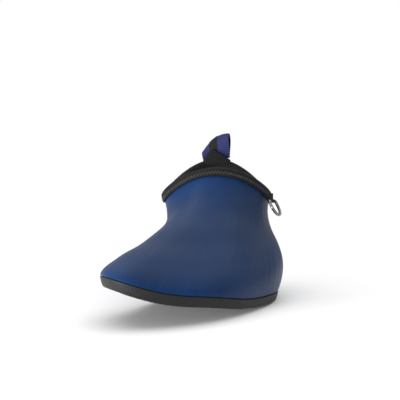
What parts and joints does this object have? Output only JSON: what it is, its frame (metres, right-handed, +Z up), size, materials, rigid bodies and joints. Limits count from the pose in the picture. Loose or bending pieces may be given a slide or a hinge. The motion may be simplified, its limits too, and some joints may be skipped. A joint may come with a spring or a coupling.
{
  "type": "neoprene boot",
  "caption": "Low pull-on neoprene boot for water sports: navy upper, black rubber sole, bound collar, webbing pull loop at the heel and a small D-ring at the side.",
  "frame": {"origin": "on the ground under the middle of the collar, on the flat of the outsole", "axes": "-Y towards the toe, +X towards the outer side of the foot, +Z up"},
  "size_m": [0.1111, 0.2729, 0.142],
  "materials": {
    "sole_rubber": "matte moulded",
    "sole_foam": "matte foam",
    "black_neoprene": "knit laminated",
    "footbed_cloth": "knit over foam",
    "navy_jersey": "satin knit",
    "seam_tape": "matte tape",
    "navy_thread": "thread",
    "black_thread": "thread",
    "binding_cloth": "matte woven",
    "navy_webbing": "ribbed webbing",
    "stripe_tape": "fine woven",
    "label_cloth": "woven label",
    "ring_steel": "polished"
  },
  "bodies": {
    "boot": {"outsole": "sole_rubber", "midsole": "sole_foam", "bottom_sheet": "black_neoprene", "footbed": "footbed_cloth", "front_panel": "navy_jersey", "outer_back_panel": "navy_jersey", "inner_back_panel": "navy_jersey", "outer_seam_tape": "seam_tape", "inner_seam_tape": "seam_tape", "heel_seam_tape": "seam_tape", "seam_threads": "navy_thread", "collar_binding": "binding_cloth", "binding_stitches": "black_thread", "heel_tab": "binding_cloth", "loop_tail": "navy_webbing", "loop_bar_tacks": "black_thread", "size_label": "label_cloth", "ring_keeper": "binding_cloth", "keeper_bar_tack": "black_thread"},
    "loop": {"pull_loop": "navy_webbing", "loop_stripe": "stripe_tape"},
    "ring": {"d_ring": "ring_steel"}
  },
  "joints": [
    {"name": "loop_fold", "type": "hinge", "parent": "boot", "child": "loop", "pos_m": [-0.00912, 0.04697, 0.1183], "axis": [-0.9781, -0.2079, 0], "range_deg": [-5, 35], "stiffness_Nm_per_rad": 0.004},
    {"name": "ring_swing", "type": "hinge", "parent": "boot", "child": "ring", "pos_m": [0.04968, -0.01335, 0.07915], "axis": [-0.2419, -0.9703, 0], "range_deg": [-34, 97]}
  ]
}
